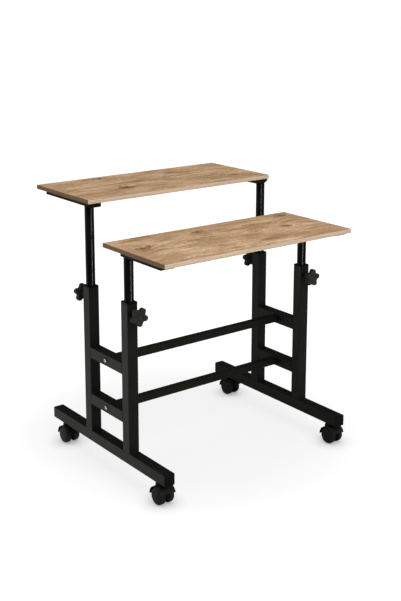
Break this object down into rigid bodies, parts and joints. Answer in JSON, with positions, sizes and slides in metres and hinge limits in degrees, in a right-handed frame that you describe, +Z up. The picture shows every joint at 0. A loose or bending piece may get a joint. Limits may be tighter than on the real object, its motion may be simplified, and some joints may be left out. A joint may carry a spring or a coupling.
{
  "type": "height-adjustable desk",
  "caption": "Mobile standing desk with a lower front board and a higher rear board, each on telescopic tubes clamped by star knobs, on a square-tube frame with castors.",
  "frame": {"origin": "on the floor, midway across the width and the depth", "axes": "+X to the right of the person who uses it, +Y away from the person, +Z up"},
  "size_m": [0.8225, 0.786, 0.936],
  "materials": {
    "oak_laminate": "melamine-faced particle board with a rustic oak print",
    "black_powder_coat": "satin black powder coat on steel tube",
    "gloss_black_enamel": "smooth gloss black on steel tube",
    "black_plastic": "black polypropylene, fine grain",
    "knob_plastic": "black glass-filled nylon, satin",
    "castor_nylon": "black nylon, semi-gloss",
    "zinc_plated_steel": "bright zinc plate"
  },
  "bodies": {
    "frame": {"foot_left": "black_powder_coat", "foot_right": "black_powder_coat", "foot_end_caps": "black_plastic", "leg_front_left": "black_powder_coat", "leg_front_right": "black_powder_coat", "leg_rear_left": "black_powder_coat", "leg_rear_right": "black_powder_coat", "rung_upper_left": "black_powder_coat", "rung_upper_right": "black_powder_coat", "rung_lower_left": "black_powder_coat", "rung_lower_right": "black_powder_coat", "crossbar_upper": "black_powder_coat", "crossbar_lower": "black_powder_coat", "crossbar_bolts": "zinc_plated_steel", "crossbar_nut_blocks": "zinc_plated_steel", "guide_collar_front_left": "black_plastic", "guide_collar_front_right": "black_plastic", "guide_collar_rear_left": "black_plastic", "guide_collar_rear_right": "black_plastic", "knob_weld_nuts": "black_powder_coat", "castor_weld_nuts": "zinc_plated_steel", "castor_stems": "zinc_plated_steel"},
    "front_top": {"front_board": "oak_laminate", "front_bracket_left": "black_powder_coat", "front_bracket_right": "black_powder_coat", "front_tube_left": "gloss_black_enamel", "front_tube_right": "gloss_black_enamel", "front_board_screws": "zinc_plated_steel", "front_tube_glides": "black_plastic"},
    "rear_top": {"rear_board": "oak_laminate", "rear_bracket_left": "black_powder_coat", "rear_bracket_right": "black_powder_coat", "rear_tube_left": "gloss_black_enamel", "rear_tube_right": "gloss_black_enamel", "rear_board_screws": "zinc_plated_steel", "rear_tube_glides": "black_plastic"},
    "clamp_knob_front_left": {"knob_front_left": "knob_plastic", "knob_screw_front_left": "zinc_plated_steel"},
    "clamp_knob_front_right": {"knob_front_right": "knob_plastic", "knob_screw_front_right": "zinc_plated_steel"},
    "clamp_knob_rear_left": {"knob_rear_left": "knob_plastic", "knob_screw_rear_left": "zinc_plated_steel"},
    "clamp_knob_rear_right": {"knob_rear_right": "knob_plastic", "knob_screw_rear_right": "zinc_plated_steel"},
    "castor_front_left": {"castor_housing_front_left": "castor_nylon", "castor_axle_front_left": "zinc_plated_steel"},
    "castor_wheel_outer_front_left": {"castor_wheel_outer_front_left": "castor_nylon"},
    "castor_wheel_inner_front_left": {"castor_wheel_inner_front_left": "castor_nylon"},
    "castor_front_right": {"castor_housing_front_right": "castor_nylon", "castor_axle_front_right": "zinc_plated_steel"},
    "castor_wheel_outer_front_right": {"castor_wheel_outer_front_right": "castor_nylon"},
    "castor_wheel_inner_front_right": {"castor_wheel_inner_front_right": "castor_nylon"},
    "castor_rear_left": {"castor_housing_rear_left": "castor_nylon", "castor_axle_rear_left": "zinc_plated_steel"},
    "castor_wheel_outer_rear_left": {"castor_wheel_outer_rear_left": "castor_nylon"},
    "castor_wheel_inner_rear_left": {"castor_wheel_inner_rear_left": "castor_nylon"},
    "castor_rear_right": {"castor_housing_rear_right": "castor_nylon", "castor_axle_rear_right": "zinc_plated_steel"},
    "castor_wheel_outer_rear_right": {"castor_wheel_outer_rear_right": "castor_nylon"},
    "castor_wheel_inner_rear_right": {"castor_wheel_inner_rear_right": "castor_nylon"}
  },
  "joints": [
    {"name": "front_board_lift", "type": "slide", "parent": "frame", "child": "front_top", "axis": [0, 0, 1], "range_m": [-0.135, 0.26]},
    {"name": "rear_board_lift", "type": "slide", "parent": "frame", "child": "rear_top", "axis": [0, 0, 1], "range_m": [-0.264, 0.131]},
    {"name": "clamp_turn_front_left", "type": "hinge", "parent": "frame", "child": "clamp_knob_front_left", "pos_m": [-0.38, -0.204, 0.595], "axis": [0, -1, 0], "range_deg": [0, 540]},
    {"name": "clamp_turn_front_right", "type": "hinge", "parent": "frame", "child": "clamp_knob_front_right", "pos_m": [0.38, -0.204, 0.595], "axis": [0, -1, 0], "range_deg": [0, 540]},
    {"name": "clamp_turn_rear_left", "type": "hinge", "parent": "frame", "child": "clamp_knob_rear_left", "pos_m": [-0.38, 0.107, 0.595], "axis": [0, 1, 0], "range_deg": [0, 540]},
    {"name": "clamp_turn_rear_right", "type": "hinge", "parent": "frame", "child": "clamp_knob_rear_right", "pos_m": [0.38, 0.107, 0.595], "axis": [0, 1, 0], "range_deg": [0, 540]},
    {"name": "castor_swivel_front_left", "type": "hinge", "parent": "frame", "child": "castor_front_left", "pos_m": [-0.38, -0.329, 0.04], "axis": [0, 0, 1], "continuous": true},
    {"name": "wheel_spin_outer_front_left", "type": "hinge", "parent": "castor_front_left", "child": "castor_wheel_outer_front_left", "pos_m": [-0.38, -0.347, 0.03], "axis": [1, 0, 0], "continuous": true},
    {"name": "wheel_spin_inner_front_left", "type": "hinge", "parent": "castor_front_left", "child": "castor_wheel_inner_front_left", "pos_m": [-0.38, -0.347, 0.03], "axis": [1, 0, 0], "continuous": true},
    {"name": "castor_swivel_front_right", "type": "hinge", "parent": "frame", "child": "castor_front_right", "pos_m": [0.38, -0.329, 0.04], "axis": [0, 0, 1], "continuous": true},
    {"name": "wheel_spin_outer_front_right", "type": "hinge", "parent": "castor_front_right", "child": "castor_wheel_outer_front_right", "pos_m": [0.38, -0.347, 0.03], "axis": [1, 0, 0], "continuous": true},
    {"name": "wheel_spin_inner_front_right", "type": "hinge", "parent": "castor_front_right", "child": "castor_wheel_inner_front_right", "pos_m": [0.38, -0.347, 0.03], "axis": [1, 0, 0], "continuous": true},
    {"name": "castor_swivel_rear_left", "type": "hinge", "parent": "frame", "child": "castor_rear_left", "pos_m": [-0.38, 0.259, 0.04], "axis": [0, 0, 1], "continuous": true},
    {"name": "wheel_spin_outer_rear_left", "type": "hinge", "parent": "castor_rear_left", "child": "castor_wheel_outer_rear_left", "pos_m": [-0.38, 0.241, 0.03], "axis": [1, 0, 0], "continuous": true},
    {"name": "wheel_spin_inner_rear_left", "type": "hinge", "parent": "castor_rear_left", "child": "castor_wheel_inner_rear_left", "pos_m": [-0.38, 0.241, 0.03], "axis": [1, 0, 0], "continuous": true},
    {"name": "castor_swivel_rear_right", "type": "hinge", "parent": "frame", "child": "castor_rear_right", "pos_m": [0.38, 0.259, 0.04], "axis": [0, 0, 1], "continuous": true},
    {"name": "wheel_spin_outer_rear_right", "type": "hinge", "parent": "castor_rear_right", "child": "castor_wheel_outer_rear_right", "pos_m": [0.38, 0.241, 0.03], "axis": [1, 0, 0], "continuous": true},
    {"name": "wheel_spin_inner_rear_right", "type": "hinge", "parent": "castor_rear_right", "child": "castor_wheel_inner_rear_right", "pos_m": [0.38, 0.241, 0.03], "axis": [1, 0, 0], "continuous": true}
  ]
}
